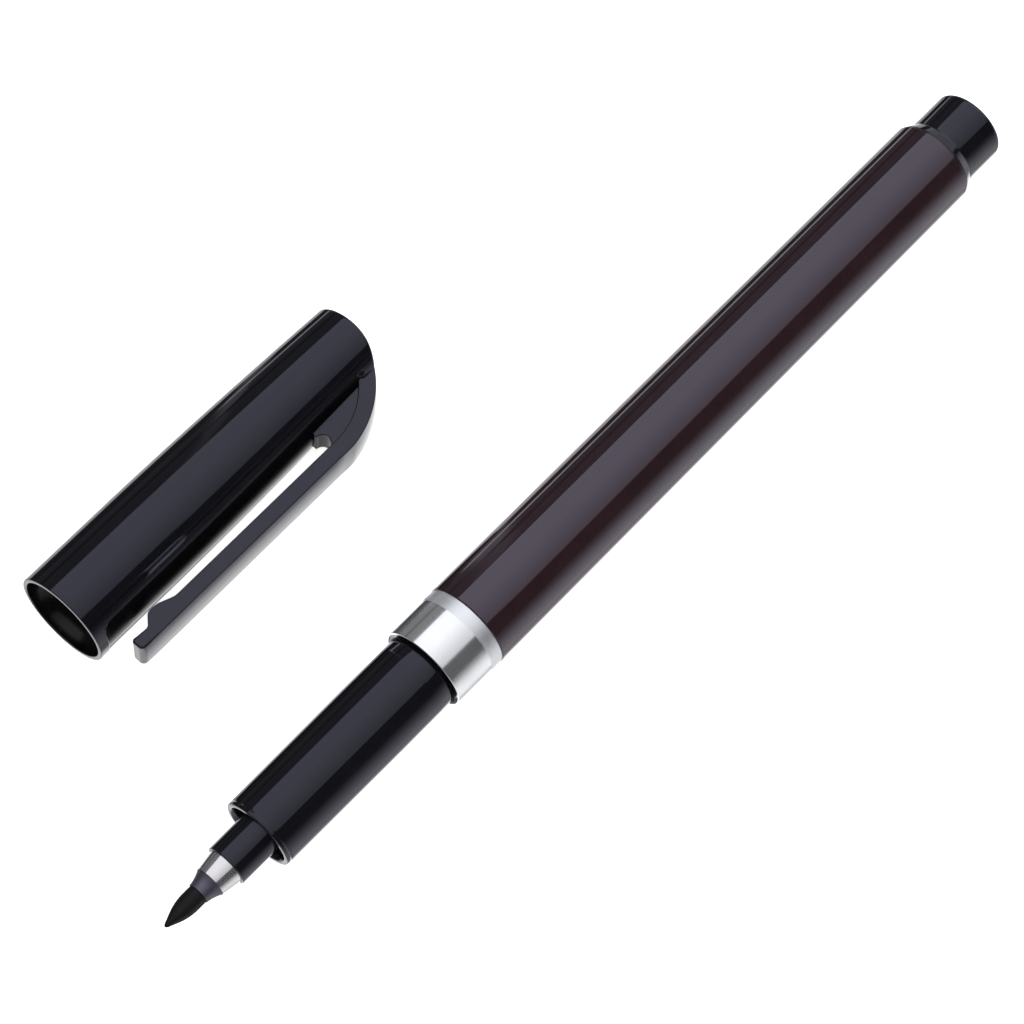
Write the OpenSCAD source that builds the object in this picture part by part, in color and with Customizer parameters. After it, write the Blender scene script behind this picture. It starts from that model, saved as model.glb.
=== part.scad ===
// Calligraphy marker: a brush-tip sign pen with its cap off and lying beside it.
// Millimetres. X runs along the pen, tip at -X, tail at +X. Z is up and the
// pen and the cap both lie on z = 0. The origin is under the middle of the
// whole arrangement.

/* [Pen body] */
// Outer diameter of the barrel where it meets the ring
barrel_d = 10.44; // [9.9:0.02:10.6]
// Outer diameter of the barrel at the tail
barrel_tail_d = 10.36; // [9.9:0.02:10.6]
// Length of the barrel that shows, from the ring to the tail seam
barrel_len = 77.4; // [72:0.1:90]
// Length of the trim ring
ring_len = 6.8; // [5.5:0.1:8]
// Length of the bevelled band at the back of the ring
ring_bevel_len = 1.7; // [0.8:0.1:2.4]
// Length of the grip ahead of the ring
grip_len = 25.0; // [22:0.1:27]
// Diameter of the grip at the ring, the seat for the cap
grip_d = 8.98; // [8.8:0.02:9.06]
// Diameter of the grip just behind its front rim
grip_front_d = 8.76; // [8.5:0.02:8.8]

// Length of the straight cap seat ahead of the ring
seat_len = 8; // [6:0.5:10]

/* [Tip] */
// Diameter of the black mouthpiece
sleeve_d = 5.0; // [4.7:0.02:5.04]
// Length of the mouthpiece that stands out of the grip
sleeve_out = 4.6; // [3.6:0.1:5]
// Length of the metal ferrule that shows
ferrule_len = 4.0; // [3.4:0.1:4.4]
// Length of the brush tip that shows
nib_len = 4.85; // [4:0.05:5.2]
// Greatest diameter of the brush tip
nib_d = 2.36; // [2.2:0.02:2.44]

/* [Tail plug] */
// Diameter of the stepped tail, the seat for the posted cap
plug_d = 8.82; // [8.6:0.02:8.9]
// Length of the tail behind the barrel, shoulder included
plug_len = 7.0; // [6:0.1:9]
// Length of the sloping shoulder
shoulder_len = 1.45; // [1:0.05:2]

/* [Cap] */
// Length of the cap
cap_len = 46.9; // [46.5:0.1:52]
// How far the end face falls short of the arch's full sweep
end_sag = 0.7; // [0.5:0.1:0.9]
// Outer diameter of the cap at its mouth
cap_d = 12.0; // [11.9:0.02:12.4]
// Outer diameter of the cap at its closed end
cap_end_d = 10.4; // [10.2:0.02:11]
// Wall of the cap at its mouth
cap_wall = 0.6; // [0.55:0.01:0.66]
// Bore of the seal liner that grips the pen
liner_bore_d = 9.1; // [9.08:0.01:9.16]
// Depth of the liner behind the mouth of the cap
liner_back = 3.0; // [2.6:0.1:3.6]

/* [Clip] */
// Width of the clip
clip_w = 4.6; // [4.2:0.1:5]
// Thickness of the clip arm
clip_t = 1.95; // [1.7:0.05:2.1]
// Distance from the cap's axis to the inner face of the arm
clip_in = 7.75; // [7.6:0.05:8]
// Distance from the mouth to the free end of the clip
clip_tip = 2.7; // [2.4:0.1:3.2]
// Distance from the mouth to the pivot where the arm bends
clip_root = 36.6; // [36:0.1:37]
// Angle of the clip below the horizontal
clip_drop = 22.5; // [15:0.5:24]

/* [Layout] */
// Distance between the cap's axis and the pen's axis, at the cap's mouth
cap_off = 39.1; // [34:0.1:50]
// Distance of the cap's mouth ahead of the back of the ring
cap_fwd = 25.0; // [0:0.1:40]
// Turn of the cap about the vertical
cap_yaw = 1.0; // [0:0.1:3]
// Slope of the cap towards its closed end
cap_dip = 0.7; // [0:0.1:0.8]

/* [Hidden] */
fn = 96;

barrel_r = barrel_d / 2;
barrel_tail_r = barrel_tail_d / 2;
bore_r = 4.35;                       // barrel bore
spigot_r = 4.34;                     // grip and plug spigots, pressed in
spigot_len = 9;
ring_in_r = 4.62;                    // ring bore on its seat
ring_gap_r = 4.94;                   // open front rim of the ring
ring_gap_len = 1.25;
grip_x = -ring_len - grip_len;       // front rim of the grip
sleeve_x = grip_x - sleeve_out;      // front of the mouthpiece
ferrule_x = sleeve_x - ferrule_len;  // front of the ferrule
tip_x = ferrule_x - nib_len;         // point of the brush
tail_x = barrel_len + plug_len;      // flat end of the tail
sleeve_r = sleeve_d / 2;
sleeve_back = grip_x + 13;           // back of the mouthpiece flange
res_r = 3.5;                         // fibre rod
film_r = 3.62;
res_x1 = barrel_len - 13.4;
wick_r = 0.95;
pivot_x = ferrule_x + 0.1;           // brush bends here
cap_r = cap_d / 2;
cap_end_r = cap_end_d / 2;
cap_void_r = 0.65;                   // wall behind the mouth
cap_z = 6.28;                        // height of the cap's axis at its mouth
clip_out = clip_in + clip_t;
box_x0 = tip_x;
box_x1 = tail_x;
box_y0 = -barrel_r;
box_y1 = cap_off + 6.3;

// Radius of the cap at distance s from its mouth
function cap_rad(s) = s < 12 ? cap_r
    : cap_r - (cap_r - cap_end_r) * pow((s - 12) / (cap_len + end_sag - 12), 1.75);

// The arch sweeps over the closed end: distance from the mouth at height q over
// the axis, and the arch's inner outline at distance s
function ease(t) = let (u = min(1, max(0, t))) u * u * (3 - 2 * u);
function end_s(q) = clip_root - 1
    + (cap_len + end_sag - clip_root + 1) * pow(1 - pow(max(0, min(1, (q + 1) / (clip_out + 1))), 1.85), 1 / 1.85)
    - end_sag * ease((4.5 - q) / 5.5);
function arch_in(s) = let (u = min(1, (s - clip_root + 1) / (cap_len + end_sag - 2.6 - clip_root + 1)))
    -1 + (clip_in + 1) * pow(1 - pow(u, 1.95), 1 / 1.95);

module rev(pts, f = fn) { rotate([0, 90, 0]) rotate_extrude($fn = f) polygon(pts); }
module lay_pen() { translate([-(box_x0 + box_x1) / 2, -(box_y0 + box_y1) / 2, barrel_r]) children(); }
module lay_cap() {
    translate([-(box_x0 + box_x1) / 2 - cap_fwd, -(box_y0 + box_y1) / 2 + cap_off, cap_z])
        rotate([0, cap_dip, cap_yaw]) children();
}
module lay_clip() { lay_cap() rotate([clip_drop, 0, 0]) children(); }

// Soft pointed tip of bonded fibre, on a short ball that lets it bend
module brush_nib() color([0.10, 0.10, 0.11]) lay_pen() {
    r = nib_d / 2; b = ferrule_x - 0.35;
    rev([[0, tip_x], [0.13, tip_x + 0.04], [0.3, tip_x + 0.3], [0.5, tip_x + 0.82],
         [0.72, tip_x + 1.35], [0.93, tip_x + 1.95], [1.08, tip_x + 2.6],
         [r, tip_x + 3.4], [r - 0.01, tip_x + 4.0], [1.1, b], [0.9, b + 0.12],
         [0.6, b + 0.4], [0, b + 0.4]], 64);
    translate([pivot_x, 0, 0]) sphere(r = 0.9, $fn = 48);
}

// Metal collar: a shank in the mouthpiece, a tapered band and a cone
module nib_ferrule() color([0.80, 0.80, 0.82]) lay_pen() {
    rev([[1.0, ferrule_x], [1.14, ferrule_x], [1.19, ferrule_x + 0.1],
         [1.80, sleeve_x - 2.4], [1.86, sleeve_x - 2.2], [2.2, sleeve_x],
         [1.7, sleeve_x], [1.7, sleeve_x + 6], [1.0, sleeve_x + 6]]);
}

// Black mouthpiece, pushed into the grip from behind up to its flange
module nib_sleeve() color([0.05, 0.05, 0.06]) lay_pen() {
    rev([[1.72, sleeve_x], [sleeve_r - 0.12, sleeve_x], [sleeve_r, sleeve_x + 0.12],
         [sleeve_r, sleeve_back - 1.2], [3.4, sleeve_back - 1.2], [3.4, sleeve_back],
         [1.0, sleeve_back], [1.0, sleeve_x + 6.05], [1.72, sleeve_x + 6.05]]);
}

// Grip with a rounded, hollowed front rim and a spigot for the barrel
module grip_section() color([0.05, 0.05, 0.06]) lay_pen() {
    f = grip_front_d / 2; g = grip_d / 2; x = grip_x;
    rev([[sleeve_r + 0.02, x + 1.3], [3.55, x + 1.3], [3.62, x + 0.35], [3.74, x + 0.1],
         [3.9, x], [f - 0.25, x + 0.05], [f - 0.07, x + 0.25], [f, x + 0.6],
         [g, -ring_len - seat_len], [g, -ring_len], [g - 0.19, -ring_len + 0.15], [g - 0.19, -ring_len + ring_gap_len],
         [ring_in_r - 0.01, -ring_len + ring_gap_len], [ring_in_r - 0.01, -0.1], [spigot_r, -0.1],
         [spigot_r, spigot_len - 0.4], [spigot_r - 0.3, spigot_len], [3.8, spigot_len],
         [3.8, sleeve_back - 1.2], [sleeve_r + 0.02, sleeve_back - 1.2]]);
}

// Polished ring: open front rim round the grip, bevelled band at the back
module trim_ring() color([0.82, 0.82, 0.84]) lay_pen() {
    r = barrel_r;
    rev([[ring_gap_r, -ring_len + 0.08], [ring_gap_r + 0.1, -ring_len], [r - 0.08, -ring_len],
         [r, -ring_len + 0.1], [r, -ring_bevel_len], [r - 0.1, -0.05], [r - 0.16, 0],
         [ring_in_r, 0], [ring_in_r, -ring_len + ring_gap_len],
         [ring_gap_r, -ring_len + ring_gap_len]]);
}

// Long barrel with four inner ribs that hold the ink rod
module barrel() color([0.16, 0.10, 0.11]) lay_pen() {
    rev([[bore_r, 0], [barrel_r - 0.12, 0], [barrel_r, 0.12],
         [barrel_tail_r, barrel_len - 0.1], [barrel_tail_r - 0.1, barrel_len], [bore_r, barrel_len]]);
    for (a = [0:90:270]) rotate([a + 45, 0, 0])
        translate([spigot_len + 1, -0.4, film_r + 0.02]) cube([res_x1 - spigot_len - 2, 0.8, bore_r - film_r + 0.3]);
}

// Stepped tail: shoulder and seat outside, spigot and cross stem inside
module tail_plug() color([0.05, 0.05, 0.06]) lay_pen() {
    p = plug_d / 2; x = barrel_len; xs = x + shoulder_len;
    rev([[3.5, x - 9.4], [spigot_r - 0.25, x - 9.4], [spigot_r, x - 9], [spigot_r, x],
         [barrel_tail_r - 0.1, x], [barrel_tail_r - 0.16, x + 0.14], [p + 0.14, xs - 0.12],
         [p, xs + 0.14], [p, tail_x - 0.6], [p - 0.05, tail_x - 0.36], [p - 0.17, tail_x - 0.17],
         [p - 0.36, tail_x - 0.05], [p - 0.6, tail_x], [0, tail_x], [0, tail_x - 1.4], [3.5, tail_x - 1.4]]);
    for (a = [0, 90]) rotate([a, 0, 0])
        translate([res_x1, -0.45, -3.45]) cube([tail_x - 1.2 - res_x1, 0.9, 6.9]);
}

// Fibre wick from the ink rod to the root of the brush
module feed_wick() color([0.20, 0.20, 0.22]) lay_pen()
    rev([[0, pivot_x + 1.05], [wick_r, pivot_x + 1.05], [wick_r, sleeve_back + 8.8],
         [0.4, sleeve_back + 9.2], [0, sleeve_back + 9.2]], 48);

// Fibre rod full of ink
module ink_reservoir() color([0.15, 0.15, 0.18]) lay_pen()
    rev([[0.97, sleeve_back], [res_r, sleeve_back], [res_r, res_x1], [0, res_x1],
         [0, sleeve_back + 9.25], [0.97, sleeve_back + 9.25]], 64);

// Clear film wrapped round the ink rod
module reservoir_film() color([0.85, 0.87, 0.9]) lay_pen()
    rev([[res_r, sleeve_back + 0.3], [film_r, sleeve_back + 0.3], [film_r, res_x1 - 0.3],
         [res_r, res_x1 - 0.3]], 64);

// Cap tube with its closed end, the clip's arch and web, and the clip channel
module cap_shell() color([0.05, 0.05, 0.06]) {
    e = cap_len;
    difference() {
        union() {
            lay_cap() difference() {
                rev(concat([[0, 0], [cap_r - 0.16, 0], [cap_r - 0.03, 0.12], [cap_r, 0.3]],
                    [for (s = [12:3:e - 2]) [cap_rad(s), s]],
                    [for (a = [0:18:90]) [cap_end_r - 0.48 + 0.5 * cos(a), e - 0.5 + 0.5 * sin(a)]],
                    [[0, e]]));
                // channel under the clip, with rounded corners by the mouth
                rotate([clip_drop, 0, 0]) intersection() {
                    rev(concat([for (s = [0:3:e - 3]) [cap_rad(s) - 0.3, s]],
                        [for (s = [e - 3:-3:0]) [cap_rad(s) + 2, s]]));
                    rotate([90, 0, 0]) linear_extrude(9) union() {
                        translate([2.6, -3.3]) square([e - 6.4, 6.6]);
                        translate([1.3, -2]) square([3, 4]);
                        for (k = [-1, 1]) translate([2.6, k * 2]) circle(r = 1.3, $fn = 40);
                    }
                }
            }
            // block of the arch over the closed end, hollowed for the arm's pivot
            lay_clip() difference() {
                linear_extrude(clip_w, center = true) polygon(concat(
                    [[clip_root, -clip_out - 1], [e + 0.6, -clip_out - 1], [e + 0.6, 0.2], [e - 0.3, 0.9], [clip_root + 5, 2]],
                    [for (k = [9:-1:0]) let (s = clip_root + (e - 3.5 - clip_root) * k / 9) [s, -arch_in(s)]]));
                translate([clip_root, -(clip_in + clip_out) / 2, 0]) cylinder(r = clip_t / 2 + 0.05, h = 20, center = true, $fn = 48);
                translate([clip_root - 5, -clip_out - 2, -10]) cube([5, clip_t + 2.01, 20]);
            }
            // narrower web between the arch and the tube, with a rounded slot end
            lay_clip() difference() {
                translate([clip_root - 1.9, -clip_in + 0.06, -1.6]) cube([9.5, clip_in - 4.6, 3.2]);
                translate([clip_root - 1.9, -6.65, 0]) cylinder(r = 0.98, h = 20, center = true, $fn = 40);
                translate([clip_root, -(clip_in + clip_out) / 2, 0]) cylinder(r = clip_t / 2 + 0.05, h = 20, center = true, $fn = 48);
            }
        }
        // the arch's sweep trims the arch and the end of the tube together
        lay_clip() linear_extrude(30, center = true) polygon(concat([[clip_root - 3, -clip_out - 3], [clip_root - 3, -clip_out - 0.001]],
            [for (q = [clip_out, 9.6, 9.4, 9.1, 8.7, 8.2, 7.6, 6.9, 6.1, 5.3, 4.5, 3.7, 2.9, 2.1, 1.2, 0.4, -0.4]) [end_s(q), -q]],
            [[e + 3, 1.4], [e + 3, -clip_out - 3]]));
        lay_cap() rev(concat([[0, -1], [cap_r - cap_wall + 0.6, -1], [cap_r - cap_wall + 0.1, 0.001], [cap_r - cap_wall, 0.2],
            [cap_r - cap_wall, liner_back], [cap_r - cap_void_r, liner_back]],
            [for (s = [12:3:e - 5]) [cap_rad(s) - cap_void_r, s]], [[cap_end_r - 0.65, e - 3.4], [3.5, e - 2.7], [0, e - 2.7]]));
    }
}

// Springy arm of the clip, with a thinner tip and a contact bump
module pocket_clip() color([0.05, 0.05, 0.06]) lay_clip() {
    i = clip_in; o = clip_out; t = clip_tip; m = (i + o) / 2;
    difference() {
        union() {
            linear_extrude(clip_w, center = true) polygon([[clip_root, -o], [clip_root, -i], [t + 8.4, -i],
                [t + 7.1, -i + 0.05], [t + 6.0, -i + 0.45], [t + 5.1, -i + 0.78], [t + 4.2, -i + 0.86],
                [t + 3.6, -i + 0.75], [t + 3.1, -i + 0.3], [t + 2.5, -i - 0.3], [t + 2.1, -i - 0.4],
                [t + 0.5, -i - 0.4], [t + 0.1, -i - 0.6], [t, -i - 0.9], [t, -o + 0.5], [t + 0.15, -o + 0.15], [t + 0.5, -o]]);
            translate([clip_root, -m, 0]) cylinder(r = clip_t / 2, h = clip_w, center = true, $fn = 48);
        }
        // keep the pivot end round and the corners of the free end rounded
        for (k = [-1, 1]) translate([t, 0, k * clip_w / 2]) rotate([90, k * 0, 0])
            translate([0, 0, 5]) difference() {
                translate([-1, -1, 0]) cube([2, 2, 8]);
                translate([1, -k * 1, -1]) cylinder(r = 1, h = 10, $fn = 40);
            }
    }
}

// Liner that grips the pen and seals over its mouthpiece
module inner_cap() color([0.10, 0.10, 0.11]) lay_cap() {
    b = liner_bore_d / 2; x = liner_back; g = x + grip_len + 0.5;
    rev([[b + 0.25, x], [5.28, x], [5.28, x + 3], [5.0, x + 3.4], [4.98, 22], [4.96, g + 0.4],
         [3.4, g + 2], [3.4, cap_len - 2.7], [0, cap_len - 2.7], [0, cap_len - 3.6],
         [2.3, cap_len - 3.6], [2.3, g + 5.6], [sleeve_r + 0.05, g + 5.4], [sleeve_r + 0.05, g + 1.0],
         [sleeve_r + 0.4, g + 0.5], [b, g], [b, x + 0.25]]);
}

brush_nib();
nib_ferrule();
nib_sleeve();
grip_section();
trim_ring();
barrel();
tail_plug();
feed_wick();
ink_reservoir();
reservoir_film();
cap_shell();
pocket_clip();
inner_cap();
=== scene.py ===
import math
import bpy
import bmesh
import numpy as np
from mathutils import Matrix, Vector


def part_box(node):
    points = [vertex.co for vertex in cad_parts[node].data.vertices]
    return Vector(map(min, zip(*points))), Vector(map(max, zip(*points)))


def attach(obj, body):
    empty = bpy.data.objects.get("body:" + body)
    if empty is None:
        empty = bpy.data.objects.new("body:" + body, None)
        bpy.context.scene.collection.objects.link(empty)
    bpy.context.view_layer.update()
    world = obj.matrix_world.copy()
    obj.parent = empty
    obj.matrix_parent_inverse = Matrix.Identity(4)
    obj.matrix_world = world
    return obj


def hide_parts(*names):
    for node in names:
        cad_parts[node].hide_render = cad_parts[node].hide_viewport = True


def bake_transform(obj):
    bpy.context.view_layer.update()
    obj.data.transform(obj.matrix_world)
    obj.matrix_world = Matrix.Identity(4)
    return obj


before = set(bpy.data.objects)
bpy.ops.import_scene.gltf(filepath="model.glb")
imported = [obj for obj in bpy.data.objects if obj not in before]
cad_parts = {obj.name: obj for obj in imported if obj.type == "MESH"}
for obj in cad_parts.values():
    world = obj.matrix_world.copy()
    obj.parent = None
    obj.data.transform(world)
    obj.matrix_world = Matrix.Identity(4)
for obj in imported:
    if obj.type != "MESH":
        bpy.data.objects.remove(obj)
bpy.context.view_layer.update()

MM = 0.001

# ------------------------------------------------------------------ frame
# The pen's axis runs along X through the barrel's box; the cap's axis and the clip's direction are the CAD's.
b_lo, b_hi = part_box("barrel")
PEN_Y, PEN_Z = (b_lo.y + b_hi.y) / 2 / MM, (b_lo.z + b_hi.z) / 2 / MM
PEN_X = b_lo.x / MM
PEN = (np.array([PEN_X, PEN_Y, PEN_Z]), np.array([1.0, 0, 0]), np.array([0, 0, 1.0]), np.array([0, -1.0, 0]))
yaw, dip, drop = math.radians(1.0), math.radians(0.7), math.radians(22.5)
RZ = np.array([[math.cos(yaw), -math.sin(yaw), 0], [math.sin(yaw), math.cos(yaw), 0], [0, 0, 1]])
RY = np.array([[math.cos(dip), 0, math.sin(dip)], [0, 1, 0], [-math.sin(dip), 0, math.cos(dip)]])
RX = np.array([[1, 0, 0], [0, math.cos(drop), -math.sin(drop)], [0, math.sin(drop), math.cos(drop)]])
RC = RZ @ RY @ RX
CAP_A, CAP_N, CAP_T = RC @ np.array([1.0, 0, 0]), RC @ np.array([0, -1.0, 0]), RC @ np.array([0, 0, 1.0])
CAP_M = np.array([PEN_X - 25.0, PEN_Y + 39.1, 6.28])
CAP = (CAP_M, CAP_A, CAP_N, CAP_T)          # origin, axis, clip direction, across the clip


# ------------------------------------------------------------------ mesh tools
def new_object(name, verts, faces, material, smooth=True, recalc=True):
    me = bpy.data.meshes.new(name)
    me.from_pydata([tuple(v * MM) for v in np.asarray(verts, float)], [], [tuple(f) for f in faces])
    bm = bmesh.new()
    bm.from_mesh(me)
    bmesh.ops.remove_doubles(bm, verts=bm.verts, dist=1e-8)
    bmesh.ops.dissolve_degenerate(bm, dist=1e-8, edges=bm.edges)
    if recalc:
        bmesh.ops.recalc_face_normals(bm, faces=bm.faces)
    for f in bm.faces:
        f.smooth = smooth
    bm.to_mesh(me)
    bm.free()
    ob = bpy.data.objects.new(name, me)
    bpy.context.scene.collection.objects.link(ob)
    me.materials.append(material)
    return ob


def fillet(points, closed=True, n=6, support=0.03):
    """Corners (x, y, radius) turned into arcs, with a loop just outside each arc so that flats stay flat."""
    P = [np.array(p[:2], float) for p in points]
    rad = [p[2] if len(p) > 2 else 0.0 for p in points]
    out, m = [], len(P)
    for i in range(m):
        if not closed and i in (0, m - 1):
            out.append(P[i])
            continue
        a, c, b, r = P[i - 1], P[i], P[(i + 1) % m], rad[i]
        u, v = a - c, b - c
        lu, lv = np.linalg.norm(u), np.linalg.norm(v)
        u, v = u / lu, v / lv
        cosv = float(np.clip(u @ v, -1, 1))
        ang = math.acos(cosv)
        if r <= 0 or ang > math.pi - 0.02:
            out.append(c)
            continue
        t = min(r / math.tan(ang / 2), 0.45 * lu, 0.45 * lv)
        r = t * math.tan(ang / 2)
        bis = (u + v) / np.linalg.norm(u + v)
        ctr = c + bis * (r / math.sin(ang / 2))
        p0, p1 = c + u * t, c + v * t
        if lu - t > 3 * support:
            out.append(p0 + u * support)
        d0, d1 = p0 - ctr, p1 - ctr
        for k in range(n + 1):
            w = k / n
            th = math.acos(float(np.clip((d0 @ d1) / (r * r), -1, 1)))
            if th < 1e-6:
                out.append(p0)
                break
            d = (math.sin((1 - w) * th) * d0 + math.sin(w * th) * d1) / math.sin(th)
            out.append(ctr + d)
        if lv - t > 3 * support:
            out.append(p1 + v * support)
    return out


def lathe(name, prof, place, material, seg=192, closed=True, shape=None, x_cuts=()):
    """prof holds (x, r) points. A closed profile is a ring; an open one runs from the axis back to the axis."""
    o, a, e1, e2 = place
    prof = [np.array(p, float) for p in prof]
    if x_cuts:
        cut = []
        m = len(prof)
        for i in range(m if closed else m - 1):
            p, q = prof[i], prof[(i + 1) % m]
            cut.append(p)
            inside = [x for x in x_cuts if min(p[0], q[0]) + 0.2 < x < max(p[0], q[0]) - 0.2]
            for x in sorted(inside, reverse=p[0] > q[0]):
                w = (x - p[0]) / (q[0] - p[0])
                cut.append(p + (q - p) * w)
        if not closed:
            cut.append(prof[-1])
        prof = cut
    verts, rings = [], []
    for x, r in prof:
        if r < 1e-6:
            rings.append([len(verts)])
            verts.append(o + a * x)
            continue
        row = []
        for k in range(seg):
            th = 2 * math.pi * k / seg
            rr = r if shape is None else shape(x, r, th)
            row.append(len(verts))
            verts.append(o + a * x + (e1 * math.cos(th) + e2 * math.sin(th)) * rr)
        rings.append(row)
    faces = []
    m = len(rings)
    for i in range(m if closed else m - 1):
        A, B = rings[i], rings[(i + 1) % m]
        for k in range(seg):
            l = (k + 1) % seg
            if len(A) == 1 and len(B) == 1:
                break
            if len(A) == 1:
                faces.append((A[0], B[k], B[l]))
            elif len(B) == 1:
                faces.append((A[k], A[l], B[0]))
            else:
                faces.append((A[k], A[l], B[l], B[k]))
    return new_object(name, verts, faces, material)


def slab(name, outline, width, bevel, place, material, steps=5, crown=None, round_at=None):
    """A flat outline (s, rho) thickened across the clip's width, with rounded long edges.
    crown(s, rho) says how far a point of the outline swells outwards at mid-width."""
    o, a, e1, e2 = place
    P = np.array(outline, float)
    area = 0.5 * np.sum(P[:, 0] * np.roll(P[:, 1], -1) - np.roll(P[:, 0], -1) * P[:, 1])
    if area < 0:
        P = P[::-1]
    d = np.roll(P, -1, 0) - P
    d /= np.linalg.norm(d, axis=1)[:, None]
    nrm = np.stack([-d[:, 1], d[:, 0]], 1)          # inward, for a counter-clockwise outline
    nv = nrm + np.roll(nrm, 1, 0)
    nv /= np.linalg.norm(nv, axis=1)[:, None]
    scale = 1 / np.clip((nv * nrm).sum(1), 0.5, 1)
    nv *= scale[:, None]
    C = np.zeros(len(P)) if crown is None else np.array([crown(x, y) for x, y in P])
    h = width / 2
    B = np.full(len(P), bevel) if round_at is None else np.array([round_at(x, y) for x, y in P])
    one, zero = np.ones(len(P)), np.zeros(len(P))
    prof = [(B + 0.04, h * one), (B, h * one)]
    for k in range(1, steps + 1):
        t = math.pi / 2 * k / steps
        prof.append((B * (1 - math.sin(t)), h - B * (1 - math.cos(t))))
    prof.append((zero, h - B - 0.04))
    prof += [(zero, h * f * one) for f in (0.6, 0.4, 0.2)]
    prof = prof + [(zero, zero)] + [(i, -z) for i, z in reversed(prof)]
    verts, rows = [], []
    m = len(P)
    for inset, z in prof:
        Q = P + nv * (inset - C * (1 - (z / h) ** 2))[:, None]
        rows.append(list(range(len(verts), len(verts) + m)))
        for q, zz in zip(Q, z):
            verts.append(o + a * q[0] + e1 * q[1] + e2 * zz)
    faces = []
    for r0, r1 in zip(rows[:-1], rows[1:]):
        for k in range(m):
            l = (k + 1) % m
            faces.append((r0[k], r0[l], r1[l], r1[k]))
    from mathutils.geometry import tessellate_polygon
    for row, inset in ((rows[0], prof[0][0]), (rows[-1], prof[-1][0])):
        Q = P + nv * inset[:, None]
        for tri in tessellate_polygon([[Vector((q[0], q[1], 0)) for q in Q]]):
            faces.append(tuple(row[i] for i in tri))
    return new_object(name, verts, faces, material)


# ------------------------------------------------------------------ material tools
def material(name):
    m = bpy.data.materials.new(name)
    m.use_nodes = True
    nt = m.node_tree
    bsdf = next(n for n in nt.nodes if n.type == "BSDF_PRINCIPLED")
    co = nt.nodes.new("ShaderNodeTexCoord")
    return m, nt, bsdf, co


def noise(nt, vector, scale, detail=3.0, rough=0.5, stretch=None):
    if stretch is not None:
        mp = nt.nodes.new("ShaderNodeMapping")
        mp.inputs["Scale"].default_value = stretch
        nt.links.new(vector, mp.inputs["Vector"])
        vector = mp.outputs["Vector"]
    n = nt.nodes.new("ShaderNodeTexNoise")
    n.inputs["Scale"].default_value = scale
    n.inputs["Detail"].default_value = detail
    n.inputs["Roughness"].default_value = rough
    nt.links.new(vector, n.inputs["Vector"])
    return n.outputs["Fac"]


def ramp(nt, fac, stops):
    r = nt.nodes.new("ShaderNodeValToRGB")
    el = r.color_ramp.elements
    while len(el) < len(stops):
        el.new(0.5)
    for e, (p, c) in zip(el, stops):
        e.position = p
        e.color = (*c, 1.0) if len(c) == 3 else c
    nt.links.new(fac, r.inputs["Fac"])
    return r.outputs["Color"]


def bump(nt, bsdf, height, distance, strength=1.0, prev=None):
    b = nt.nodes.new("ShaderNodeBump")
    b.inputs["Strength"].default_value = strength
    b.inputs["Distance"].default_value = distance
    nt.links.new(height, b.inputs["Height"])
    if prev is not None:
        nt.links.new(prev, b.inputs["Normal"])
    nt.links.new(b.outputs["Normal"], bsdf.inputs["Normal"])
    return b.outputs["Normal"]


def plastic(name, c0, c1, r0, r1, ior=1.5, level=0.5, tint=(1, 1, 1), peel=1.0, scratches=True):
    m, nt, p, co = material(name)
    v = co.outputs["Object"]
    nt.links.new(ramp(nt, noise(nt, v, 260, 4), [(0.3, c0), (0.7, c1)]), p.inputs["Base Color"])
    nt.links.new(ramp(nt, noise(nt, v, 1400, 5, 0.65, (0.35, 1, 1)), [(0.3, (r0,) * 3), (0.75, (r1,) * 3)]), p.inputs["Roughness"])
    p.inputs["IOR"].default_value = ior
    p.inputs["Specular IOR Level"].default_value = level
    p.inputs["Specular Tint"].default_value = (*tint, 1.0)
    n1 = bump(nt, p, noise(nt, v, 420, 2), 3.0e-6 * peel)
    if scratches:
        bump(nt, p, noise(nt, v, 5200, 3, 0.6, (0.08, 1, 1)), 0.5e-6, prev=n1)
    return m


black = plastic("black_plastic_gloss", (0.0034, 0.0034, 0.0044), (0.0046, 0.0046, 0.0058), 0.045, 0.085, tint=(0.76, 0.775, 1.0), level=0.58)
black_clip = plastic("black_plastic_clip", (0.0040, 0.0040, 0.0054), (0.0054, 0.0054, 0.0070), 0.09, 0.15, tint=(0.78, 0.79, 1.0), level=0.62)
# Inside the cap's bore the darker base is painted shade for the recess; the rougher, weaker gloss is a duller finish.
black_bore_painted_shade = plastic("black_plastic_bore_painted_shade", (0.0024, 0.0024, 0.0030), (0.0036, 0.0036, 0.0044), 0.14, 0.30, level=0.22)
# Darker base and weaker gloss for the channel under the clip and the web's end: painted shade in the slot between clip
# and tube.
black_channel_painted_shade = plastic("black_plastic_channel_painted_shade", (0.0024, 0.0024, 0.0032), (0.0034, 0.0034, 0.0044), 0.16, 0.26, ior=1.22, level=0.40)
liner = plastic("liner_plastic", (0.0030, 0.0030, 0.0034), (0.0048, 0.0048, 0.0052), 0.42, 0.55, level=0.16)
brown = plastic("barrel_plastic", (0.0158, 0.0070, 0.0084), (0.0190, 0.0088, 0.0104), 0.040, 0.075, ior=1.62, tint=(0.80, 0.79, 1.0), level=0.72, peel=0.6)


def metal(name, c0, c1, r0, r1, lines, depth):
    m, nt, p, co = material(name)
    v = co.outputs["Object"]
    p.inputs["Metallic"].default_value = 0.94
    nt.links.new(ramp(nt, noise(nt, v, 300, 4), [(0.25, c0), (0.75, c1)]), p.inputs["Base Color"])
    turned = noise(nt, v, lines, 3, 0.6, (1.0, 0.02, 0.02))
    nt.links.new(ramp(nt, turned, [(0.25, (r0,) * 3), (0.75, (r1,) * 3)]), p.inputs["Roughness"])
    bump(nt, p, turned, depth)
    return m


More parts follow.
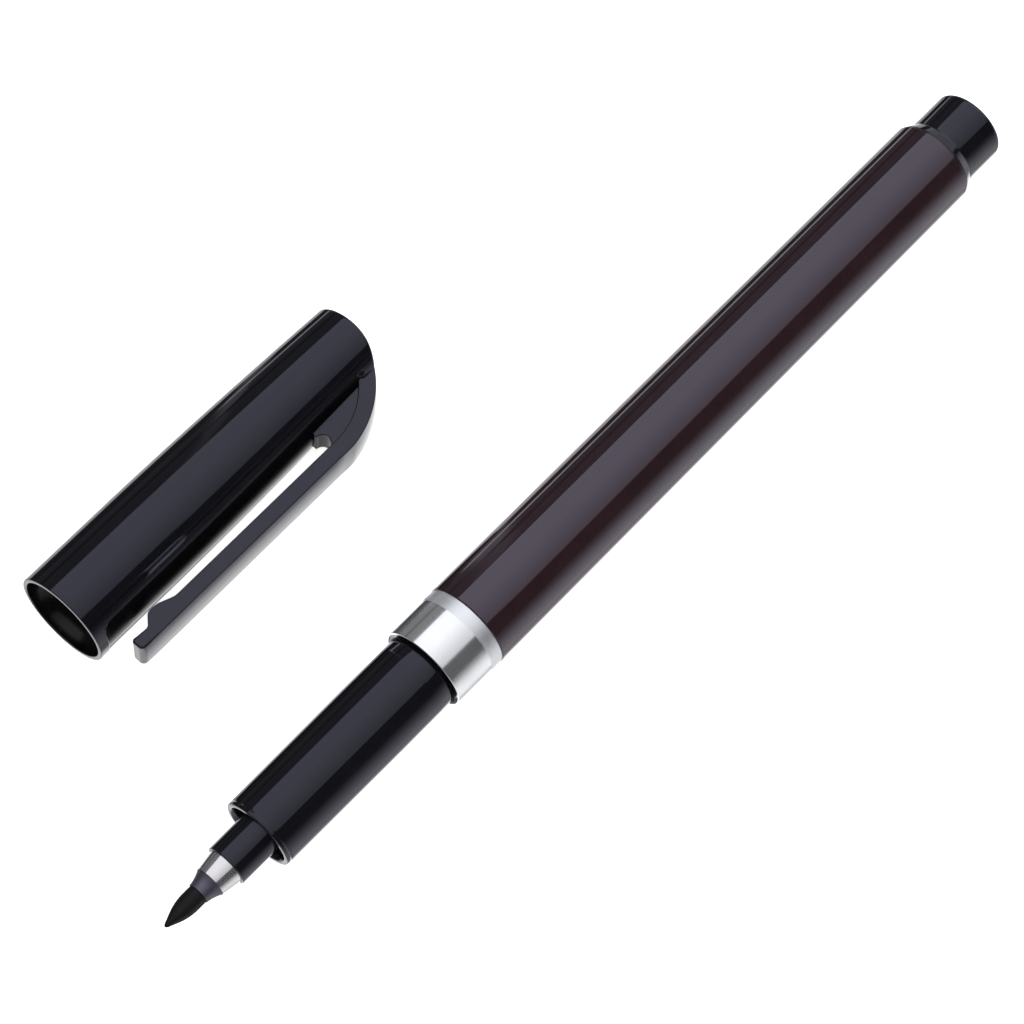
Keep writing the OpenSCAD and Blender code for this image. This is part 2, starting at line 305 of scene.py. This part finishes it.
chrome = metal("ring_chrome", (0.85, 0.86, 0.885), (0.92, 0.93, 0.955), 0.11, 0.18, 9000, 0.25e-6)
satin = metal("ring_satin", (0.83, 0.845, 0.885), (0.90, 0.915, 0.955), 0.40, 0.50, 9000, 0.3e-6)
# The ferrule's cone gets a dark purple-grey base: a painted reflection of the dark surroundings it faces, not the
# steel's own colour.
cone_steel_painted_dark_reflection = metal("ferrule_cone_painted_dark_reflection", (0.13, 0.122, 0.165), (0.18, 0.168, 0.22), 0.44, 0.56, 9000, 0.5e-6)
steel = metal("ferrule_steel", (0.68, 0.66, 0.68), (0.77, 0.75, 0.77), 0.10, 0.17, 12000, 0.3e-6)


def fibre(name, c0, c1, rough, depth, lines=6500):
    m, nt, p, co = material(name)
    v = co.outputs["Object"]
    strands = noise(nt, v, lines, 4, 0.7, (0.05, 1, 1))
    nt.links.new(ramp(nt, strands, [(0.3, c0), (0.7, c1)]), p.inputs["Base Color"])
    nt.links.new(ramp(nt, noise(nt, v, 2500, 3), [(0.3, (rough - 0.08,) * 3), (0.7, (rough + 0.08,) * 3)]), p.inputs["Roughness"])
    p.inputs["Specular IOR Level"].default_value = 0.20
    p.inputs["Sheen Weight"].default_value = 0.03
    p.inputs["Sheen Roughness"].default_value = 0.4
    bump(nt, p, strands, depth)
    return m


brush_mat = fibre("brush_fibre_inked", (0.0018, 0.0018, 0.0021), (0.0055, 0.0055, 0.0062), 0.44, 8e-6)
wick_mat = fibre("wick_fibre", (0.05, 0.05, 0.06), (0.12, 0.12, 0.14), 0.8, 10e-6)

film, nt, p, co = material("clear_film")
nt.links.new(ramp(nt, noise(nt, co.outputs["Object"], 500, 3), [(0.3, (0.80, 0.83, 0.86)), (0.7, (0.92, 0.94, 0.96))]), p.inputs["Base Color"])
nt.links.new(ramp(nt, noise(nt, co.outputs["Object"], 1500, 3), [(0.3, (0.10,) * 3), (0.7, (0.22,) * 3)]), p.inputs["Roughness"])
p.inputs["Alpha"].default_value = 0.4


def split_material(ob, mat, test):
    """Gives the faces whose middle passes test(x, r), in the pen's own mm, a second material."""
    ob.data.materials.append(mat)
    co = np.array([v.co for v in ob.data.vertices]) / MM - PEN[0]
    for f in ob.data.polygons:
        c = co[list(f.vertices)].mean(0)
        if test(c[0], math.hypot(c[1], c[2])):
            f.material_index = 1


# ------------------------------------------------------------------ pen (x from the back of the ring, in mm)
R = 5.22
xs = [-31.0 + 2.0 * i for i in range(70)]

barrel = lathe("pen_barrel", fillet([
    (0, 4.36, 0), (0, R, 0.13), (77.4, 5.18, 0.10), (77.4, 4.36, 0)]), PEN, brown, 256, x_cuts=xs)
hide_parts("barrel"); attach(barrel, "pen")

ring = lathe("pen_trim_ring", fillet([
    (-6.8, 4.94, 0.07), (-6.8, R, 0.10), (-1.72, R, 0.5), (-0.02, 5.115, 0.09), (-0.02, 4.63, 0), (-5.55, 4.63, 0), (-5.55, 4.94, 0)], n=8),
    PEN, chrome, 256)
split_material(ring, satin, lambda x, r: x > -1.72 and r > 5.0)
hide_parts("trim_ring"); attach(ring, "pen")

grip = lathe("pen_grip", fillet([
    (-30.5, 2.53, 0.0), (-30.5, 3.53, 0.12), (-31.42, 3.60, 0.0), (-31.8, 3.80, 0.24), (-31.78, 4.33, 0.28), (-31.42, 4.38, 0.10), (-31.22, 4.30, 0.11), (-31.0, 4.39, 0.16),
    (-14.8, 4.49, 0), (-6.8, 4.49, 0), (-6.7, 4.44, 0), (-5.55, 4.44, 0), (-5.55, 4.60, 0), (-0.15, 4.60, 0), (-0.15, 4.33, 0), (8.98, 4.33, 0.3),
    (8.98, 3.82, 0), (-20.0, 3.82, 0), (-20.0, 2.53, 0)], n=8), PEN, black, 256, x_cuts=xs)
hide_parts("grip_section"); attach(grip, "pen")

sleeve = lathe("pen_mouthpiece", fillet([
    (-36.4, 2.22, 0.04), (-36.4, 2.5, 0.13), (-20.05, 2.5, 0), (-20.05, 3.4, 0.1), (-18.85, 3.4, 0.1), (-18.85, 1.02, 0),
    (-30.3, 1.02, 0), (-30.3, 1.74, 0), (-36.3, 1.74, 0), (-36.3, 2.22, 0)], n=8), PEN, black, 192)
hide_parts("nib_sleeve"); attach(sleeve, "pen")

ferrule = lathe("pen_ferrule", fillet([
    (-40.42, 1.19, 0.02), (-40.42, 1.26, 0.03), (-40.1, 1.30, 0.0), (-39.7, 1.39, 0.0), (-39.3, 1.52, 0.0), (-38.95, 1.67, 0.0), (-38.68, 1.83, 0.05), (-36.38, 2.20, 0.0), (-36.30, 2.20, 0), (-36.30, 1.70, 0), (-30.42, 1.70, 0), (-30.42, 1.02, 0),
    (-39.3, 1.02, 0), (-39.6, 1.19, 0)], n=8), PEN, steel, 192)
# the cone's faces get the darker base, a painted dark reflection
split_material(ferrule, cone_steel_painted_dark_reflection, lambda x, r: x < -38.70 and r > 1.2)
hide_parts("nib_ferrule"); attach(ferrule, "pen")

plug = lathe("pen_tail_plug", [(83.0, 0.0), (83.0, 3.5)] + fillet([
    (68.0, 3.5, 0), (68.0, 4.33, 0.3), (77.42, 4.33, 0), (77.42, 5.06, 0.08), (77.62, 5.04, 0.14), (78.72, 4.50, 0.75), (79.6, 4.41, 0.0),
    (84.4, 4.41, 0.60), (84.4, 0.0, 0)], closed=False, n=10), PEN, black, 256, closed=False)
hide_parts("tail_plug"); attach(plug, "pen")


# ------------------------------------------------------------------ brush tip
def smooth_curve(points, n=10):
    P = [np.array(p, float) for p in points]
    out = []
    for i in range(len(P) - 1):
        p0, p1, p2, p3 = P[max(i - 1, 0)], P[i], P[i + 1], P[min(i + 2, len(P) - 1)]
        for k in range(n):
            t = k / n
            q = 0.5 * ((2 * p1) + (-p0 + p2) * t + (2 * p0 - 5 * p1 + 4 * p2 - p3) * t * t + (-p0 + 3 * p1 - 3 * p2 + p3) * t ** 3)
            out.append(q)
    out.append(P[-1])
    return out


T = -45.25
tip_profile = [(T, 0.0)] + [(x, max(r, 0.02)) for x, r in smooth_curve([
    (T + 0.012, 0.06), (T + 0.10, 0.17), (T + 0.3, 0.295), (T + 0.82, 0.50), (T + 1.35, 0.72), (T + 1.95, 0.93), (T + 2.6, 1.08),
    (T + 3.3, 1.165), (T + 3.9, 1.18), (T + 4.5, 1.175), (-40.4, 1.15), (-39.9, 1.10), (-39.5, 0.90)], 8)] + [(-39.42, 0.0)]


def strand_shape(x, r, th):
    k = min(1.0, max(0.0, (x - T) / 1.6)) * min(1.0, max(0.0, (-39.6 - x) / 0.8))
    g = 0.55 * math.sin(34 * th + 0.9 * math.sin(3 * th) + 0.35 * x) + 0.3 * math.sin(57 * th + 1.3 - 0.5 * x) + 0.25 * math.sin(89 * th + 0.4)
    return r - 0.012 * k * (1 - g) * (r / 1.17) - 0.02 * k * abs(math.sin(2.5 * th + 0.6)) ** 12


tip = lathe("pen_brush_tip", tip_profile, PEN, brush_mat, 288, closed=False, shape=strand_shape)
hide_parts("brush_nib")
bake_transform(tip)

# ------------------------------------------------------------------ cap
E = 47.6


def cap_rad(s):
    return 6.0 if s < 12 else 6.0 - 0.8 * ((min(s, E) - 12) / 35.6) ** 1.75


def smoothstep(t):
    t = min(1.0, max(0.0, t))
    return t * t * (3 - 2 * t)


def channel(s, w):
    """Depth of the shallow channel under the clip: a long rounded rectangle."""
    hx, hy, cr = 21.1, 3.3, 1.3
    if s > 22:
        cr = 0.15
    qx, qy = abs(s - 22.4) - (hx - cr), abs(w) - (hy - cr)
    d = math.hypot(max(qx, 0), max(qy, 0)) + min(max(qx, qy), 0.0) - cr
    return 0.3 * smoothstep(-d / 0.13)


def end_s(q):
    """Distance from the mouth at which the arch's sweep ends the cap, at height q over the axis."""
    v = max(0.0, min(1.0, (q + 1) / 10.7))
    return 35.6 + 12.0 * (1 - v ** 1.85) ** (1 / 1.85) - 0.7 * smoothstep((4.5 - q) / 5.5)


def corner(c, d0, d1, r, n):
    """Arc of radius r that rounds the corner at c between directions d0 and d1."""
    ang = math.acos(float(np.clip(d0 @ d1, -1, 1)))
    t = r / math.tan(ang / 2)
    bis = (d0 + d1) / np.linalg.norm(d0 + d1)
    ctr = c + bis * (r / math.sin(ang / 2))
    a0, a1 = c + d0 * t - ctr, c + d1 * t - ctr
    th = math.acos(float(np.clip((a0 @ a1) / (r * r), -1, 1)))
    return [ctr + (math.sin((1 - k / n) * th) * a0 + math.sin(k / n * th) * a1) / math.sin(th) for k in range(n + 1)]


def cap_tube():
    o, a, e1, e2 = CAP
    ws = [0, 0.5, 1.0, 1.5, 1.8] + list(np.arange(2.0, 3.09, 0.09)) + [3.12, 3.16, 3.2, 3.24, 3.27, 3.3, 3.33, 3.4, 3.6]
    n_out = 74
    base = [math.asin(w / 6.0) for w in ws]
    half = base + [base[-1] + (math.pi - base[-1]) * k / n_out for k in range(1, n_out + 1)]
    n_half = len(half)
    s_mid = [45.2, 44.4, 43.9, 43.6, 43.3, 43.17, 43.12, 43.06, 43.0, 42.94, 42.88, 42.8, 42.6] + list(np.arange(42, 3.3, -0.6))
    s_front = list(np.arange(3.2, 1.0, -0.055)) + [0.9, 0.6, 0.36]
    rim = fillet([(0.36, 6.0, 0), (0.0, 6.0, 0.20), (0.0, 5.42, 0.12), (3.0, 5.40, 0), (3.0, 5.35, 0), (12, 5.35, 0)], closed=False, n=8)[1:]
    rim = [tuple(q) for q in rim] + [(s, cap_rad(s) - 0.65) for s in np.arange(14, 42.0, 2.5)] + [(43.5, 4.5), (44.2, 3.5)]
    cols = []
    for i in range(2 * n_half - 2):
        j = i if i < n_half else 2 * n_half - 2 - i
        sign = 1.0 if i < n_half else -1.0

        def ang(r):
            if j < len(ws):
                return sign * math.asin(ws[j] / max(r, 5.2))
            p0 = math.asin(ws[-1] / max(r, 5.2))
            return sign * (p0 + (math.pi - p0) * (j - len(ws) + 1) / n_out)

        col = []
        sc = 46.0                                    # where the side meets the end, in this half plane
        for _ in range(40):
            sc = 0.5 * sc + 0.5 * end_s(cap_rad(sc) * math.cos(ang(cap_rad(sc))))
        rc = cap_rad(sc)
        th = ang(rc)
        ct = math.cos(th)
        slope = (end_s(rc * ct) - end_s((rc - 0.3) * ct)) / 0.3
        d_side = np.array([-1.0, (cap_rad(sc - 0.5) - rc) / 0.5])
        d_end = np.array([-slope, -1.0])
        d_side, d_end = d_side / np.linalg.norm(d_side), d_end / np.linalg.norm(d_end)
        arc = corner(np.array([sc, rc]), d_side, d_end, 0.42, 8)
        q_in = arc[-1][1]
        for f in (0.12, 0.3, 0.5, 0.68, 0.82, 0.92, 0.985):
            q = q_in * f
            col.append((end_s(q * ct) - (0.004 if f > 0.9 else 0.0), q, th))
        for q in reversed(arc):
            col.append((q[0], q[1], th))
        top = arc[0][0] - 0.04
        for s in s_mid:
            ss = s if s < 40 else 40 + (s - 40) * (top - 40) / 5.3
            col.append((ss, None, s))
        for s in s_front:
            col.append((s, None, s))
        out = []
        for c in col:
            if c[1] is None:
                r = cap_rad(c[0])
                t = ang(r)
                dep = channel(c[0], r * math.sin(t)) if math.cos(t) > 0 else 0.0
                out.append((c[0], r - dep, t))
            else:
                out.append(c)
        for s, r in rim:
            out.append((s, r, ang(6.0)))
        cols.append(out)
    m, nrow = len(cols), len(cols[0])
    verts = [o + a * end_s(0.0), o + a * 44.2]
    idx = []
    for c in cols:
        idx.append(list(range(len(verts), len(verts) + nrow)))
        for s, r, t in c:
            verts.append(o + a * s + (e1 * math.cos(t) + e2 * math.sin(t)) * r)
    faces = []
    for i in range(m):
        A, B = idx[i], idx[(i + 1) % m]
        faces.append((0, A[0], B[0]))
        for k in range(nrow - 1):
            faces.append((A[k], A[k + 1], B[k + 1], B[k]))
        faces.append((1, B[-1], A[-1]))
    ob = new_object("cap_tube", verts, faces, black)
    ob.data.materials.append(black_bore_painted_shade)
    ob.data.materials.append(black_channel_painted_shade)
    ob.data.update()
    M, ax = Vector(o * MM), Vector(a)
    for f in ob.data.polygons:
        c = Vector((0, 0, 0))
        for v in f.vertices:
            c += ob.data.vertices[v].co
        c /= len(f.vertices)
        along = (c - M).dot(ax)
        rad = ((c - M) - ax * along).length
        # faces inside the bore get the darker material, painted shade
        if along > 0.35 * MM and rad < 5.45 * MM and f.normal.dot((c - M) - ax * along) < 0 and along < 44.3 * MM:
            f.material_index = 1
        s_mm, r_mm = along / MM, rad / MM
        # the channel under the clip gets the painted shade material
        if 1.3 < s_mm < 43.0 and cap_rad(s_mm) - 0.5 < r_mm < cap_rad(s_mm) - 0.13 and (c - M).dot(Vector(e1)) > 0:
            f.material_index = 2
    return ob


tube = cap_tube()
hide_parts("cap_shell"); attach(tube, "cap")

seal = lathe("cap_liner", fillet([
    (3.02, 4.62, 0.06), (3.02, 5.33, 0.05), (6.0, 5.30, 0), (6.4, 5.0, 0), (28.9, 4.95, 0), (30.5, 3.4, 0), (44.18, 3.4, 0), (44.18, 1.2, 0),
    (43.3, 1.2, 0), (43.3, 2.3, 0), (34.1, 2.3, 0), (33.9, 2.55, 0), (29.5, 2.55, 0), (29.0, 2.9, 0), (28.5, 4.55, 0), (3.30, 4.55, 0.1)], n=6), CAP, liner, 192)
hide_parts("inner_cap"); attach(seal, "cap")

# clip: arm, arch over the closed end, and the narrower web between them and the tube
IN, OUT, ROOT, TIP = 7.75, 9.70, 36.6, 2.7


def arch_in(s):
    u = min(1.0, (s - 35.6) / 9.4)
    return -1 + 8.75 * (1 - u ** 1.95) ** (1 / 1.95)


line = [(TIP, -OUT + 0.0)]
outer_arm = fillet([(TIP, 8.30, 0), (TIP, OUT, 0.80), (20, OUT, 0)], closed=False, n=8)
pts = []
pts += [tuple(p) for p in outer_arm[1:-1]]
pts += [(s, OUT) for s in np.arange(6, 35.0, 1.2)]
for k in range(0, 60):
    q = OUT - (OUT + 0.6) * (k / 59) ** 1.35
    pts.append((end_s(q) - 0.035 * smoothstep((4.75 - q) / 0.5), q))
pts += [(46.2, -1.2), (45.0, -1.2)]
for k in range(38, -1, -1):
    s = 35.6 + 9.4 * math.sin(math.pi / 2 * k / 40)
    pts.append((s, arch_in(s)))
pts += [(s, IN) for s in np.arange(34.4, 11.5, -1.2)]
bump_pts = smooth_curve([(11.1, IN), (9.8, IN - 0.05), (8.7, IN - 0.45), (7.8, IN - 0.78), (6.9, IN - 0.86), (6.3, IN - 0.75), (5.8, IN - 0.3), (5.2, IN + 0.3), (4.8, IN + 0.4)], 6)
pts += [tuple(p) for p in bump_pts]
pts += [tuple(p) for p in fillet([(4.8, IN + 0.38, 0), (TIP + 0.02, IN + 0.16, 0.42), (TIP, 8.9, 0)], closed=False, n=8)[1:]]
clean = [pts[0]]
for q in pts[1:]:
    if math.hypot(q[0] - clean[-1][0], q[1] - clean[-1][1]) > 0.012:
        clean.append(q)


def arm_crown(s, q):
    """The arm's outer face is gently rounded across; the swell fades round the arch and at the free end."""
    outer = q > 9.2 if s < 35.6 else q > end_s(q) * 0 + 5.3 and s > 35.6 + 9.4 * (1 - (min(1.0, (q + 1) / 8.75)) ** 1.95) ** (1 / 1.95) + 0.8
    return (0.14 * smoothstep((q - 5.4) / 2.6) * smoothstep((s - TIP - 0.1) / 0.8)) if outer else 0.0


clip = slab("cap_clip_arm", [(x, y - (0.05 if y > 9.2 and x < 35.6 else 0.0)) for x, y in clean], 4.58, 0.15, CAP, black_clip, crown=arm_crown,
            round_at=lambda x, y: 0.14 + 0.20 * smoothstep((4.6 - x) / 1.5))
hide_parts("pocket_clip")
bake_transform(clip)

web_pts = [(34.7, 7.78)]
for k in range(0, 25):
    t = math.pi / 2 - math.pi * k / 24
    web_pts.append((34.7 + 0.98 * math.cos(t), 6.65 + 0.98 * math.sin(t)))
web_pts += [(34.7, 4.9), (43.2, 4.3), (43.2, 5.0), (40.0, 7.0), (37.5, 7.95)]
web = slab("cap_clip_web", web_pts, 3.2, 0.10, CAP, black_clip)
web.data.materials.append(black_channel_painted_shade)
wm = Vector((CAP_M + CAP_A * 34.7 + CAP_N * 6.65) * MM)
# the web's rounded end gets the same painted shade
for f in web.data.polygons:
    if abs(f.normal.dot(Vector(CAP_T))) < 0.8 and (Vector(f.center) - wm).dot(Vector(CAP_A)) < 1.05 * MM:
        f.material_index = 1
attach(web, "cap")

# ------------------------------------------------------------------ inner CAD pieces keep their own meshes
for node, mat in (("feed_wick", wick_mat), ("ink_reservoir", wick_mat), ("reservoir_film", film)):
    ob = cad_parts[node]
    ob.data.materials.clear()
    ob.data.materials.append(mat)

# ------------------------------------------------------------------ stage: floor, backdrop, lights, camera
bpy.ops.mesh.primitive_grid_add(x_subdivisions=8, y_subdivisions=8, size=6.0, location=(0, 0, -0.00002))
floor = bpy.context.object
floor.name = "floor"
m, nt, p, co = material("floor_pale")
v = co.outputs["Object"]
nt.links.new(ramp(nt, noise(nt, v, 40, 3), [(0.3, (0.90, 0.90, 0.90)), (0.7, (0.93, 0.93, 0.93))]), p.inputs["Base Color"])
p.inputs["Roughness"].default_value = 0.9
p.inputs["Specular IOR Level"].default_value = 0.1
p.inputs["Emission Color"].default_value = (1.0, 0.995, 0.985, 1.0)
p.inputs["Emission Strength"].default_value = 0.90
floor.data.materials.append(m)
floor.visible_glossy = False                 # the plate below is what the gloss sees, like a board under glass

bpy.ops.mesh.primitive_uv_sphere_add(segments=48, ring_count=24, radius=5.0, location=(0, 0, 0))
back = bpy.context.object
back.name = "backdrop"
m, nt, p, co = material("backdrop_pale")
nt.links.new(ramp(nt, noise(nt, co.outputs["Object"], 0.6, 2), [(0.3, (0.86, 0.86, 0.87)), (0.7, (0.92, 0.92, 0.92))]), p.inputs["Emission Color"])
p.inputs["Base Color"].default_value = (0, 0, 0, 1)
p.inputs["Emission Strength"].default_value = 1.0
back.data.materials.append(m)
back.visible_glossy = back.visible_diffuse = back.visible_shadow = back.visible_transmission = False

world = bpy.data.worlds.new("studio")
bpy.context.scene.world = world
world.use_nodes = True
bg = next(n for n in world.node_tree.nodes if n.type == "BACKGROUND")
bg.inputs["Color"].default_value = (0.95, 0.97, 1.0, 1.0)
bg.inputs["Strength"].default_value = 0.05


def area(name, M, w, h, radiance, colour=(1, 1, 1), glossy=True, diffuse=True, profile=None):
    """A soft rectangular light that the camera doesn't see. profile holds (position, level) across its height."""
    li = bpy.data.lights.new(name, "AREA")
    li.shape = "RECTANGLE"
    li.size, li.size_y = w, h
    li.energy = radiance * math.pi * w * h
    li.color = colour
    if profile:
        li.use_nodes = True
        nt = li.node_tree
        em = next(n for n in nt.nodes if n.type == "EMISSION")
        geo = nt.nodes.new("ShaderNodeNewGeometry")
        sep = nt.nodes.new("ShaderNodeSeparateXYZ")
        nt.links.new(geo.outputs["Parametric"], sep.inputs["Vector"])
        r = nt.nodes.new("ShaderNodeValToRGB")
        el = r.color_ramp.elements
        while len(el) < len(profile):
            el.new(0.5)
        for e, (p, c) in zip(el, profile):
            e.position = p
            e.color = (c, c, c, 1.0)
        nt.links.new(sep.outputs["Y"], r.inputs["Fac"])
        nt.links.new(r.outputs["Color"], em.inputs["Color"])
    ob = bpy.data.objects.new(name, li)
    bpy.context.scene.collection.objects.link(ob)
    ob.matrix_world = M
    ob.visible_camera = False
    ob.visible_glossy = glossy
    ob.visible_diffuse = diffuse
    return ob


def panel(name, th0, th1, dist, x0, x1, radiance, **k):
    """A soft panel seen from the pen between two angles from the vertical (towards -Y positive), facing the pen."""
    t0, t1 = math.radians(th0), math.radians(th1)
    mid, half = (t0 + t1) / 2, (t1 - t0) / 2
    d = np.array([0, -math.sin(mid), math.cos(mid)])
    c = np.array([(x0 + x1) / 2, PEN_Y * MM, PEN_Z * MM]) + d * dist
    X, Z = np.array([1.0, 0, 0]), d
    Y = np.cross(Z, X)
    M = Matrix(((X[0], Y[0], Z[0], c[0]), (X[1], Y[1], Z[1], c[1]), (X[2], Y[2], Z[2], c[2]), (0, 0, 0, 1)))
    return area(name, M, x1 - x0, 2 * dist * math.tan(half), radiance, **k)


panel("softbox", -25, 67, 0.70, -0.7, 2.5, 1.16, colour=(0.965, 0.97, 1.0),
      profile=[(0.0, 0.50), (0.06, 0.53), (0.17, 0.58), (0.35, 0.74), (0.54, 0.92), (0.70, 0.93), (1.0, 0.93)])
panel("side_high", -50, -27, 0.9, -0.9, 1.4, 0.10)
panel("side_low", -73, -56, 0.9, -0.9, 1.4, 0.09)
panel("side_strip", -79.5, -74, 0.9, 0.2815, 1.5, 1.3)
panel("box_edge", 67.2, 69.5, 0.95, 0.299, 1.6, 0.62)
panel("ring_high", -55, -26, 0.88, 0.2798, 0.2985, 0.17)
panel("ring_low", -73, -56, 0.88, 0.2798, 0.2985, 0.36)
panel("ring_edge", -100, -81, 0.88, 0.2798, 0.2985, 0.26)
area("tail_card", Matrix(((0, 0, 1, 0.9), (0, -1, 0, 0.06), (1, 0, 0, 0.18), (0, 0, 0, 1))), 0.36, 0.90, 0.6, diffuse=False)
panel("floor_fill", -20, 50, 1.1, -1.0, 1.2, 0.9, colour=(1.0, 0.995, 0.985), glossy=False)
H = 0.15
area("board", Matrix(((1, 0, 0, 0.1), (0, -1, 0, 0.28), (0, 0, -1, -H), (0, 0, 0, 1))), 2.6, 1.84, 1.7, diffuse=False,
     profile=[(0.0, 0.56), (0.45, 0.56), (0.56, 0.85), (0.635, 0.98), (0.648, 0.90), (0.657, 0.36), (0.675, 0.31), (0.69, 0.52),
              (0.72, 0.52), (0.76, 0.41), (0.83, 0.17), (0.93, 0.05), (1.0, 0.02)])

cam_data = bpy.data.cameras.new("camera")
cam = bpy.data.objects.new("camera", cam_data)
bpy.context.scene.collection.objects.link(cam)
cam_data.sensor_width = 36.0
cam_data.sensor_fit = "HORIZONTAL"
cam_data.lens = 3615.513 * 36.0 / 1024.0
cam_data.clip_start, cam_data.clip_end = 0.01, 20.0
right = Vector((0.67047639, -0.69825039, -0.25081429))
up = Vector((0.66267189, 0.41156499, 0.62568381))
backv = Vector((-0.33365758, -0.58571380, 0.73865551))
pos = Vector((-0.1354633, -0.2415213, 0.2927988))
cam.matrix_world = Matrix(((right.x, up.x, backv.x, pos.x), (right.y, up.y, backv.y, pos.y), (right.z, up.z, backv.z, pos.z), (0, 0, 0, 1)))
bpy.context.scene.camera = cam

bpy.context.scene.view_settings.view_transform = "Standard"
bpy.context.scene.view_settings.look = "None"
bpy.context.scene.view_settings.exposure = 0.0
bpy.context.scene.view_settings.gamma = 1.0
